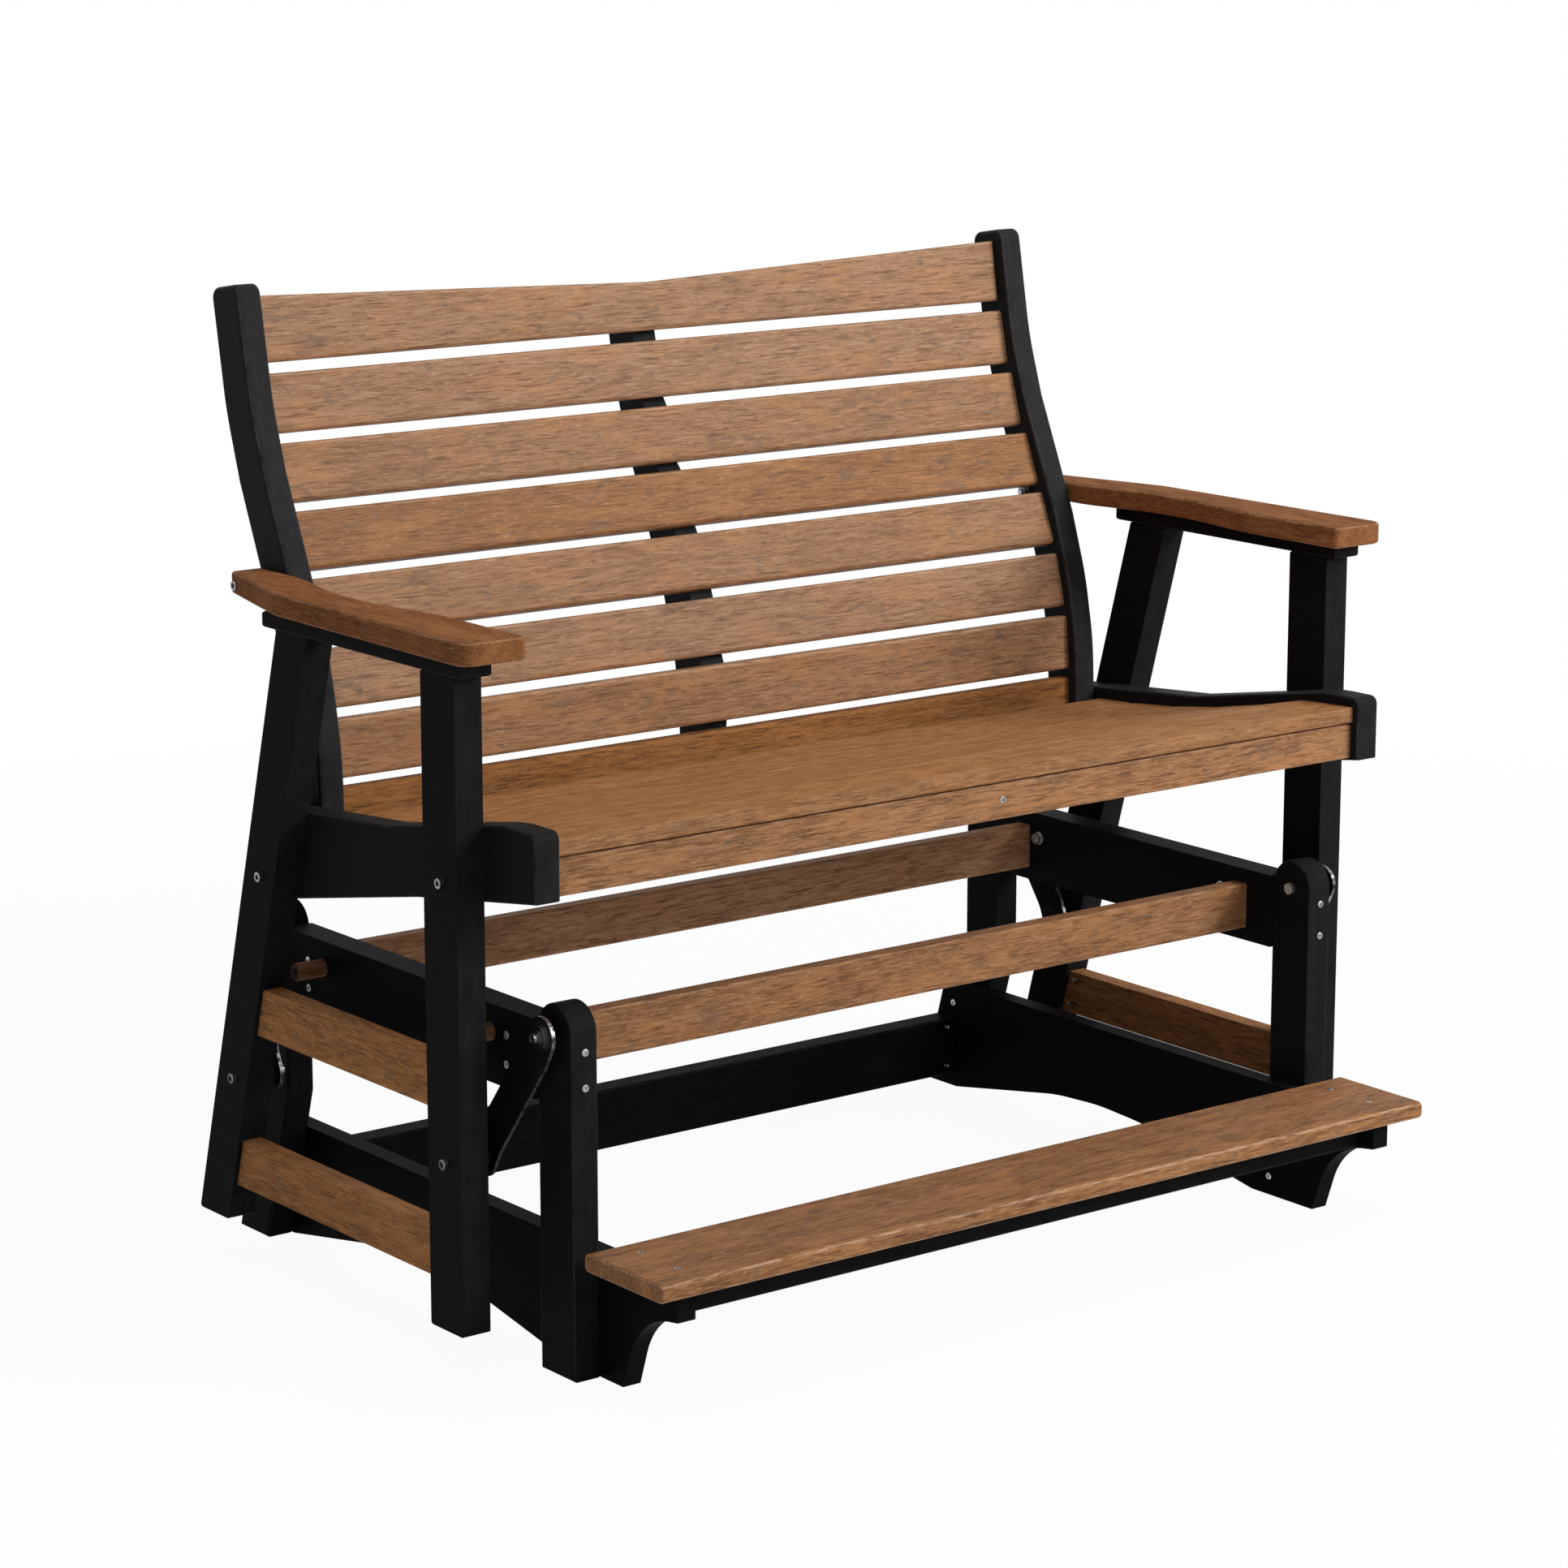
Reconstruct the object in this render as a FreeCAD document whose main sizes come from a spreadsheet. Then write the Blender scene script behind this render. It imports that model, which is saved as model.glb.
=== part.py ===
import FreeCAD, Part
import math
import os
import re
import Sketcher
from FreeCAD import Placement, Rotation, Vector

# Glider bench: a seat frame with arms hangs by four steel links from a low base with a footboard.
# Millimetres. X runs along the bench, the front faces -Y, Z is up from the ground.
# The left and right halves mirror each other, so X values below are distances from the middle.

doc = FreeCAD.newDocument("GliderBench")
sheet = doc.addObject("Spreadsheet::Sheet", "Sizes")

sizes = {
    # lumber
    "edgeRound": 4,
    "slatRound": 5.5,
    "seatSlatRound": 2.5,
    "topRound": 7,
    # legs and what stands on them
    "legInnerX": 673,
    "legThick": 38,
    "legDepth": 70,
    "legFrontY": -209,
    "frontLegFoot": 53,
    "rearLegFoot": 63,
    "legTop": 846,
    "rearLegTopY": 109,
    "rearLegLean": 222,
    "armRailWide": 44,
    "armRailThick": 20,
    "armRailFrontY": -226,
    "armRailRearY": 206,
    "armThick": 28,
    "armFrontY": -258,
    "armRearY": 337,
    "armInnerX": 641,
    "armOuterX": 731,
    "armSwellY": -85,
    "armWaistX": 661,
    "armWaistFrontY": 40,
    "armWaistRearY": 125,
    "armWaistRound": 200,
    "armNeckY": 235,
    "armBendX": 723,
    "armBendY": 165,
    "armBendRound": 30,
    "armTailX": 679,
    "armTailRound": 6,
    "armBoltBack": 17.6,
    "armBoltDrop": 1.5,
    "armBoltSunk": 4,
    "armCornerRound": 20,
    "armInnerRound": 9,
    "armEdgeRound": 4.5,
    "sideRailThick": 25.4,
    "sideRailTall": 62,
    "upperRailBottom": 320,
    "lowerRailBottom": 111,
    # seat
    "seatBoardThick": 37,
    "boardNose": 10,
    "boardNoseRound": 11,
    "boardNoseDrop": 70.2,
    "boardLip": 12.6,
    "boardHumpForward": 38.8,
    "boardHumpRound": 300,
    "boardDipForward": 40.6,
    "boardDipRise": 20.4,
    "boardBellyForward": 18.7,
    "boardBellyDrop": 68,
    "boardTail": 68,
    "boardTailRise": 11.4,
    "boardTailDrop": 108.7,
    "seatSlatThick": 20.5,
    "seatSlatGap": 4,
    "apronFrontY": -299,
    "apronTall": 46.5,
    "apronThick": 22,
    "apronGap": 2,
    "cleatWide": 30,
    "cleatTall": 34,
    "cleatRearInset": 6,
    "cleatGap": 1,
    "midCleatX": 38,
    # back
    "stileThick": 35.5,
    "stileDepth": 63.5,
    "stileBottom": 500,
    "stileTopRise": 57,
    "stileTopRound": 14,
    "stileBendRound": 400,
    "stileEdgeRound": 6,
    "midStileTopRise": 14,
    "midStileThick": 38,
    "midStileDepth": 56,
    "midStileTopRound": 6,
    "midStileRound": 2,
    "midStileGap": 0.2,
    "slatRecess": 17,
    "backSlatThick": 22,
    "backSlatTall": 75,
    "topSlatTall": 84,
    "topSlatDip": 20,
    # base
    "baseBoardThick": 25.4,
    "baseBoardTall": 154,
    "noseFrontY": -449,
    "noseTipBottom": 109,
    "noseRootY": -372,
    "noseRootBottom": 97,
    "noseArc": 96,
    "noseStep": 1,
    "toeFrontY": -339,
    "toeRearY": -224,
    "archFrontY": 0,
    "archTopY": 89,
    "archRearY": 178,
    "archShoulder": 39,
    "archTop": 43.7,
    "archRound": 380,
    "heelLong": 74,
    "postInnerX": 574,
    "postThick": 38,
    "postDepth": 70,
    "postTop": 456,
    "frontPivotY": -259,
    "rearPivotY": 375.5,
    "upperPivotZ": 419,
    "postKneeZ": 208,
    "postToeRun": 62,
    "sideBoardBottom": 331,
    "sideBoardTall": 98,
    "crossRailBottom": 348,
    "crossRailTall": 62,
    "crossRailThick": 25.4,
    "frontCrossY": -174,
    "rearCrossY": 271,
    "lowerCrossY": 406,
    "lowerCrossBottom": 18,
    "lowerCrossTall": 84,
    "lowerCrossThick": 38,
    "footboardThick": 22.4,
    "footboardFrontY": -473,
    "footboardRearY": -318,
    "footboardOverhang": 2,
    "footboardSeat": 145.4,
    "footCleatY": -420,
    "footCleatTall": 40,
    "footCleatThick": 38,
    "dowelRadius": 11.5,
    "dowelLong": 40,
    "dowelSunk": 6.6,
    "dowelBore": 7.2,
    "dowelZ": 394,
    "frontDowelY": -125,
    "rearDowelY": 251,
    # links and pivots
    "frontLowerPivotY": -175.7,
    "frontLowerPivotZ": 259.6,
    "rearLowerPivotY": 308,
    "rearLowerPivotZ": 254.5,
    "linkWide": 49,
    "linkThick": 4.8,
    "linkUpperX": 626.5,
    "linkLowerX": 653,
    "linkBendTop": 26,
    "linkBendDrop": 128,
    "linkUpperBend": 38,
    "linkLowerBend": 58,
    "pivotBoltRadius": 4.75,
    "pivotClearance": 0.08,
    "openPivotRadius": 9.8,
    "bossRadius": 15.5,
    "spacerRadius": 8,
    "pivotWasherRadius": 17.5,
    "pivotWasherThick": 2,
    "pivotStepRadius": 13.8,
    "pivotFlangeRadius": 8.6,
    "pivotCapRadius": 6.1,
    "pivotCapLong": 8,
    "runClearance": 0.4,
    # hardware
    "boltRadius": 4,
    "boltHeadRadius": 6.3,
    "boltHeadTall": 6,
    "boltHeadRound": 0.7,
    "socketAcross": 6.4,
    "socketDeep": 3,
    "hexHeadAcross": 14,
    "nutAcross": 14,
    "nutTall": 6.5,
    "washerRadius": 9.5,
    "washerThick": 1.6,
    "boltTipOut": 3,
    "screwRadius": 2.2,
    "screwHeadRadius": 4.9,
    "screwHeadTall": 2.2,
    "driveWide": 3.4,
    "driveDeep": 1.6,
    "pocketRadius": 4.9,
    "pocketSlope": 15,
    "pocketDeep": 19,
    "pocketBack": 27,
    "pocketScrewLong": 34,
    "drillClearance": 0.1,
    "roundSlack": 0.05,
    # where fasteners go
    "legBoltY": -176.7,
    "legBoltZ": 599.4,
    "stileBoltY": 229.7,
    "stileBoltZ": 530,
    "stileScrewBack": 37,
    "stileScrewLow": 548,
    "stileScrewHigh": 590,
    "armScrewY": 60,
    "armScrewBite": 18,
    "screwBite": 22,
    "postScrewInset": 27.5,
    "railScrewInset": 13,
    "frontBaseScrewZ": 26,
    "frontBaseScrewBack": 2,
    "rearBaseScrewZ": 125,
    "rearBaseScrewBack": 30,
    "footScrewFront": 45,
    "footScrewRear": 38,
    "footScrewInset": 15,
    "apronScrewDrop": 44.5,
}

# front faces of the eight back slats: height of the middle, how far back it is, lean from upright in degrees
backRows = [
    ("1", 387.8, 1183.2, 9.1),
    ("2", 369.7, 1092.1, 12.6),
    ("3", 342.0, 1008.3, 16.9),
    ("4", 306.5, 928.1, 22.4),
    ("5", 271.4, 848.0, 22.4),
    ("6", 243.0, 763.6, 14.5),
    ("7", 225.7, 676.4, 5.1),
    ("8", 222.0, 589.5, 1.5),
]

# upper front edges of the six seat slats, then the rear edge of the last
seatRows = [
    (-301.7, 662.7),
    (-209.2, 657.9),
    (-129.2, 639.3),
    (-41.3, 622.0),
    (45.6, 609.1),
    (131.7, 600.7),
    (202.8, 596.1),
]

nodes = []


def enterSizes():
    rows = dict(sizes)
    for row, y, z, lean in backRows:
        rows["backY" + row] = y
        rows["backZ" + row] = z
        rows["backLean" + row] = lean
    for index, (y, z) in enumerate(seatRows):
        rows["seatY" + str(index)] = y
        rows["seatZ" + str(index)] = z
    for row, (alias, value) in enumerate(rows.items(), start=1):
        sheet.set(f"A{row}", alias)
        sheet.set(f"B{row}", str(value))
        sheet.setAlias(f"B{row}", alias)
    doc.recompute()
    return rows


cells = enterSizes()


def bound(text):
    return re.sub(r"[A-Za-z]\w*", lambda found: "Sizes." + found.group() if found.group() in cells else found.group(),
                  str(text))


def place(thing, x=0, y=0, z=0, lean=0):
    """Put a piece at x, y, z, turned about X by lean degrees."""
    thing.setExpression("Placement.Base.x", bound(x))
    thing.setExpression("Placement.Base.y", bound(y))
    thing.setExpression("Placement.Base.z", bound(z))
    if lean:
        thing.Placement = Placement(Vector(), Rotation(Vector(1, 0, 0), 10))
        thing.setExpression("Placement.Rotation.Angle", bound(lean))


def originPlane(body, role):
    return next(item for item in body.Origin.OriginFeatures if item.Role == role)


def outline(body, role, corners):
    """Closed outline whose corner coordinates are tied to the sheet."""
    sketch = body.newObject("Sketcher::SketchObject", body.Name + "_outline")
    sketch.AttachmentSupport = [(originPlane(body, role), "")]
    sketch.MapMode = "FlatFace"
    count = len(corners)
    rough = [Vector(50 * math.cos(2 * math.pi * step / count), 50 * math.sin(2 * math.pi * step / count), 0)
             for step in range(count)]
    sketch.addGeometry([Part.LineSegment(rough[step], rough[(step + 1) % count]) for step in range(count)], False)
    for step, (across, up) in enumerate(corners):
        sketch.addConstraint(Sketcher.Constraint("Coincident", step - 1 if step else count - 1, 2, step, 1))
        first = sketch.addConstraint(Sketcher.Constraint("DistanceX", -1, 1, step, 1, 1.0))
        second = sketch.addConstraint(Sketcher.Constraint("DistanceY", -1, 1, step, 1, 1.0))
        sketch.setExpression(f"Constraints[{first}]", bound(across))
        sketch.setExpression(f"Constraints[{second}]", bound(up))
    return sketch


def cornerEdges(shape, direction, points):
    """Straight edges along direction that stand on the given points."""
    found = []
    for number, edge in enumerate(shape.Edges, start=1):
        if edge.Curve.TypeId != "Part::GeomLine" or abs(edge.Curve.Direction.dot(direction)) < 0.999:
            continue
        foot = edge.Vertexes[0].Point - direction * edge.Vertexes[0].Point.dot(direction)
        if any((foot - point).Length < 0.01 for point in points):
            found.append(f"Edge{number}")
    return found


def rimEdges(shape, direction):
    """Edges of the two faces that are square to direction."""
    found = []
    for number, edge in enumerate(shape.Edges, start=1):
        ends = [edge.valueAt(edge.FirstParameter), edge.valueAt(edge.LastParameter)]
        along = [end.dot(direction) for end in ends]
        if abs(along[0] - along[1]) < 0.01:
            middle = edge.valueAt((edge.FirstParameter + edge.LastParameter) / 2)
            if abs(middle.dot(direction) - along[0]) < 0.01:
                found.append(f"Edge{number}")
    return found


directions = {"YZ_Plane": Vector(1, 0, 0), "XZ_Plane": Vector(0, 1, 0), "XY_Plane": Vector(0, 0, 1)}


def board(label, role, corners, thick, rounds=(), rim=None, long=None):
    """A board cut to an outline: corner radii by corner number, then rim or long edges eased."""
    body = doc.addObject("PartDesign::Body", label)
    body.Label = label
    sketch = outline(body, role, corners)
    pad = body.newObject("PartDesign::Pad", label + "_pad")
    pad.Profile = sketch
    pad.Midplane = True
    pad.setExpression("Length", bound(thick))
    doc.recompute()
    direction = directions[role]
    for radius, numbers in rounds:
        flat = [sketch.getPoint(number, 1) for number in numbers]
        points = [sketch.Placement.multVec(point) for point in flat]
        ease(body, cornerEdges(body.Tip.Shape, direction, points), radius)
    if long:
        flat = [sketch.getPoint(number, 1) for number in range(len(corners))]
        points = [sketch.Placement.multVec(point) for point in flat]
        ease(body, cornerEdges(body.Tip.Shape, direction, points), long)
    if rim:
        ease(body, rimEdges(body.Tip.Shape, direction), rim)
    nodes.append(body)
    return body


def ease(body, edges, radius):
    base = body.Tip
    fillet = body.newObject("PartDesign::Fillet", body.Name + "_round")
    fillet.Base = (base, edges)
    fillet.setExpression("Radius", bound(radius))
    doc.recompute()
    return fillet


def rectangle(y0, y1, z0, z1):
    return [(y0, z0), (y1, z0), (y1, z1), (y0, z1)]


sides = (("left", -1), ("right", 1))

legMiddle = "(legInnerX + legThick / 2)"
seatBoardX = "(legInnerX - seatBoardThick / 2)"
stileX = "(legInnerX - seatBoardThick - stileThick / 2)"
stileInner = "(legInnerX - seatBoardThick - stileThick)"
seatInner = "(legInnerX - seatBoardThick)"
postMiddle = "(postInnerX + postThick / 2)"
postOuter = "(postInnerX + postThick)"
baseBoardX = "(postInnerX - baseBoardThick / 2)"
baseInner = "(postInnerX - baseBoardThick)"
postFrontY = "(frontPivotY - postDepth / 2)"
leanSlope = "(rearLegLean / (legTop - rearLegFoot))"


def rearLegFrontY(height):
    return f"(rearLegTopY + (legTop - ({height})) * {leanSlope})"


# legs, arm rails and armrests
for side, sign in sides:
    leg = board(f"front_leg_{side}", "YZ_Plane",
                rectangle("legFrontY", "legFrontY + legDepth", "frontLegFoot", "legTop"), "legThick", long="edgeRound")
    place(leg, f"{sign} * {legMiddle}")
    foot = rearLegFrontY("rearLegFoot")
    leg = board(f"rear_leg_{side}", "YZ_Plane",
                [(foot, "rearLegFoot"), (f"{foot} + legDepth", "rearLegFoot"),
                 ("rearLegTopY + legDepth", "legTop"), ("rearLegTopY", "legTop")], "legThick", long="edgeRound")
    place(leg, f"{sign} * {legMiddle}")
    rail = board(f"arm_rail_{side}", "XY_Plane",
                 rectangle(f"{sign} * {legMiddle} - armRailWide / 2", f"{sign} * {legMiddle} + armRailWide / 2",
                           "armRailFrontY", "armRailRearY"), "armRailThick", rim="edgeRound")
    place(rail, 0, 0, "legTop + armRailThick / 2")
    arm = board(f"armrest_{side}", "XY_Plane",
                [(f"{sign} * armInnerX", "armFrontY"), (f"{sign} * armOuterX", "armFrontY"),
                 (f"{sign} * armBendX", "armBendY"), (f"{sign} * armTailX", "armRearY"),
                 (f"{sign} * {seatInner}", "armRearY"), (f"{sign} * {seatInner}", "armNeckY"),
                 (f"{sign} * armWaistX", "armWaistRearY"), (f"{sign} * armWaistX", "armWaistFrontY"),
                 (f"{sign} * armInnerX", "armSwellY")],
                "armThick",
                rounds=[("armInnerRound", [0]), ("armCornerRound", [1]), ("armBendRound", [2]),
                        ("armTailRound", [3]), ("armWaistRound", [5, 6, 7, 8])],
                rim="armEdgeRound")
    place(arm, 0, 0, "legTop + armRailThick + armThick / 2")

# rails between the legs of each side
for side, sign in sides:
    for name, bottom in (("upper", "upperRailBottom"), ("lower", "lowerRailBottom")):
        rail = board(f"{name}_side_rail_{side}", "YZ_Plane",
                     [("legFrontY + legDepth", bottom), (rearLegFrontY(bottom), bottom),
                      (rearLegFrontY(f"{bottom} + sideRailTall"), f"{bottom} + sideRailTall"),
                      ("legFrontY + legDepth", f"{bottom} + sideRailTall")], "sideRailThick")
        place(rail, f"{sign} * {legMiddle}")

# seat boards, back stiles
boardFront = "(seatY0 - boardNose)"
for side, sign in sides:
    plank = board(f"seat_board_{side}", "YZ_Plane",
                  [(boardFront, "seatZ0 + boardLip"), (boardFront, "seatZ0 - boardNoseDrop"),
                   ("seatY3 - boardBellyForward", "seatZ3 - boardBellyDrop"),
                   ("seatY6 + boardTail", "seatZ6 - boardTailDrop"), ("seatY6 + boardTail", "seatZ6 + boardTailRise"),
                   ("seatY4 - boardDipForward", "seatZ4 + boardDipRise"),
                   ("seatY1 - boardHumpForward", "seatZ0 + boardLip")],
                  "seatBoardThick",
                  rounds=[("boardNoseRound", [0]), ("boardHumpRound", [6])],
                  rim="edgeRound")
    place(plank, f"{sign} * {seatBoardX}")


def rowPoint(row, forward, along):
    """A point measured from the middle of a back slat's front face."""
    y = f"backY{row} - ({forward}) * cos(backLean{row}) + ({along}) * sin(backLean{row})"
    z = f"backZ{row} + ({forward}) * sin(backLean{row}) + ({along}) * cos(backLean{row})"
    return y, z


def stileOutline(forward, rear, topRise, bottom, first):
    rows = [row[0] for row in backRows]
    front = [rowPoint("1", forward, topRise)] + [rowPoint(row, forward, 0) for row in rows[first:]]
    back = [rowPoint("1", rear, topRise)] + [rowPoint(row, rear, 0) for row in rows[first:]]
    low = rows[-1]
    front.append((rowPoint(low, forward, 0)[0], bottom))
    back.append((rowPoint(low, rear, 0)[0], bottom))
    return front + back[::-1]


for side, sign in sides:
    shape = stileOutline("slatRecess", "slatRecess - stileDepth", "stileTopRise", "stileBottom", 1)
    last = len(shape) - 1
    bends = [number for number in range(1, last) if number not in (len(shape) // 2 - 1, len(shape) // 2)]
    stile = board(f"back_stile_{side}", "YZ_Plane", shape, "stileThick",
                  rounds=[("stileTopRound", [0, last]), ("stileBendRound", bends)], rim="stileEdgeRound")
    place(stile, f"{sign} * {stileX}")

# the centre stile's front lies flat against the back of every slat
back = "-backSlatThick - midStileGap"
shape = [rowPoint("1", back, "midStileTopRise"), rowPoint("1", back, "-topSlatTall / 2")]
for row, y, z, lean in backRows[1:]:
    shape += [rowPoint(row, back, "backSlatTall / 2"), rowPoint(row, back, "-backSlatTall / 2")]
shape += [(rowPoint("8", back, 0)[0], "stileBottom")]
shape += stileOutline(back, f"{back} - midStileDepth", "midStileTopRise", "stileBottom", 1)[len(backRows) + 1:]
board("back_stile_centre", "YZ_Plane", shape, "midStileThick",
      rounds=[("midStileTopRound", [0, len(shape) - 1])], rim="midStileRound")

# back slats, the top one with a shallow vee in its upper edge
for row, y, z, lean in backRows:
    if row == "1":
        slat = board("back_slat_1", "XZ_Plane",
                     [(f"-{stileInner}", "-topSlatTall / 2"), (stileInner, "-topSlatTall / 2"),
                      (stileInner, "topSlatTall / 2"), ("0", "topSlatTall / 2 - topSlatDip"),
                      (f"-{stileInner}", "topSlatTall / 2")], "backSlatThick", rim="slatRound")
        place(slat, 0, f"backY{row} + backSlatThick / 2 * cos(backLean{row})",
              f"backZ{row} - backSlatThick / 2 * sin(backLean{row})", f"-backLean{row}")
    else:
        slat = board(f"back_slat_{row}", "YZ_Plane",
                     rectangle("0", "backSlatThick", "-backSlatTall / 2", "backSlatTall / 2"),
                     f"2 * {stileInner}", long="slatRound")
        place(slat, 0, f"backY{row}", f"backZ{row}", f"-backLean{row}")

# seat slats, each from one row of the seat to the next
for index in range(len(seatRows) - 1):
    y0, z0, y1, z1 = f"seatY{index}", f"seatZ{index}", f"seatY{index + 1}", f"seatZ{index + 1}"
    wide = f"sqrt(({y1} - {y0}) ^ 2 + ({z1} - {z0}) ^ 2) - seatSlatGap"
    slat = board(f"seat_slat_{index + 1}", "YZ_Plane", rectangle("0", wide, "-seatSlatThick", "0"),
                 f"2 * {seatInner}", long="seatSlatRound")
    place(slat, 0, y0, z0, f"atan(({z1} - {z0}) / ({y1} - {y0}))")

apronTop = "seatZ0 - seatSlatThick - apronGap"
apron = board("seat_apron", "YZ_Plane",
              rectangle("apronFrontY", "apronFrontY + apronThick", f"{apronTop} - apronTall", apronTop),
              f"2 * {seatInner}", long="edgeRound")

# cleats that carry the seat slats: one inside each seat board, behind its front bolt, and one near the middle
cleatTop = [(f"seatY{index}", f"seatZ{index} - seatSlatThick - cleatGap") for index in range(2, 6)]
cleatTop += [("seatY6 - cleatRearInset", "seatZ6 - seatSlatThick - cleatGap")]
cleatLow = [("seatY6 - cleatRearInset", "seatZ6 - seatSlatThick - cleatTall"),
            ("seatY4", "seatZ4 - seatSlatThick - cleatTall"), ("seatY2", "seatZ2 - seatSlatThick - cleatTall")]
for side, sign in sides:
    cleat = board(f"seat_cleat_{side}", "YZ_Plane", cleatTop + cleatLow, "cleatWide")
    place(cleat, f"{sign} * ({seatInner} - cleatWide / 2)")
frontTop = [("apronFrontY + apronThick", apronTop), ("seatY1", "seatZ1 - seatSlatThick - cleatGap")]
cleat = board("seat_cleat_centre", "YZ_Plane",
              frontTop + cleatTop + cleatLow + [("apronFrontY + apronThick", "seatZ0 - seatSlatThick - cleatTall")],
              "cleatWide")
place(cleat, "midCleatX")

# base boards with their feet, arched underside and raised nose
for side, sign in sides:
    toe = "(rearPivotY + postDepth / 2 + postToeRun)"
    heelRate = "(postToeRun / postKneeZ)"
    plank = board(f"base_board_{side}", "YZ_Plane",
                  [(toe, "0"), (f"{toe} - {heelRate} * baseBoardTall", "baseBoardTall"),
                   ("footboardRearY + noseStep", "baseBoardTall"), ("footboardRearY + noseStep", "footboardSeat"),
                   ("noseFrontY", "footboardSeat"), ("noseFrontY", "noseTipBottom"),
                   ("noseRootY", "noseRootBottom"), ("toeFrontY", "0"), ("toeRearY", "0"),
                   ("archFrontY", "archShoulder"), ("archTopY", "archTop"), ("archRearY", "archShoulder"),
                   (f"{toe} - heelLong", "0")],
                  "baseBoardThick", rounds=[("noseArc", [6]), ("archRound", [9, 10, 11])])
    place(plank, f"{sign} * {baseBoardX}")

# posts with round tops; the rear ones kick back to the ground
for side, sign in sides:
    rearFace = f"{postFrontY} + postDepth"
    post = board(f"front_post_{side}", "YZ_Plane", rectangle(postFrontY, rearFace, "0", "postTop"),
                 "postThick", rounds=[("postDepth / 2 - roundSlack", [2, 3])], rim="edgeRound")
    place(post, f"{sign} * {postMiddle}")
    front = "(rearPivotY - postDepth / 2)"
    post = board(f"rear_post_{side}", "YZ_Plane",
                 [(front, "postTop"), (front, "postKneeZ"), (f"{front} + postToeRun", "0"),
                  (f"{front} + postDepth + postToeRun", "0"), (f"{front} + postDepth", "postKneeZ"),
                  (f"{front} + postDepth", "postTop")],
                 "postThick", rounds=[("postDepth / 2 - roundSlack", [0, 5])], rim="edgeRound")
    place(post, f"{sign} * {postMiddle}")
    plank = board(f"upper_side_board_{side}", "YZ_Plane",
                  rectangle("frontPivotY + postDepth / 2", "rearPivotY - postDepth / 2", "sideBoardBottom",
                            "sideBoardBottom + sideBoardTall"), "postThick", long="edgeRound")
    place(plank, f"{sign} * {postMiddle}")

# rails across the base
for name, y, bottom, tall, thick, half in (
        ("front_cross_rail", "frontCrossY", "crossRailBottom", "crossRailTall", "crossRailThick", "postInnerX"),
        ("rear_cross_rail", "rearCrossY", "crossRailBottom", "crossRailTall", "crossRailThick", "postInnerX"),
        ("lower_cross_rail", "lowerCrossY", "lowerCrossBottom", "lowerCrossTall", "lowerCrossThick", baseInner),
        ("footboard_cleat", "footCleatY", "footboardSeat - footCleatTall", "footCleatTall", "footCleatThick",
         baseInner)):
    board(name, "YZ_Plane", rectangle(y, f"{y} + {thick}", bottom, f"{bottom} + {tall}"), f"2 * {half}",
          long="edgeRound")

board("footboard", "YZ_Plane",
      rectangle("footboardFrontY", "footboardRearY", "footboardSeat", "footboardSeat + footboardThick"),
      f"2 * ({postOuter} + footboardOverhang)", rim="edgeRound", long="topRound")

# links: flat steel bars with round ends, set over outward between the post and the leg


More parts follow.
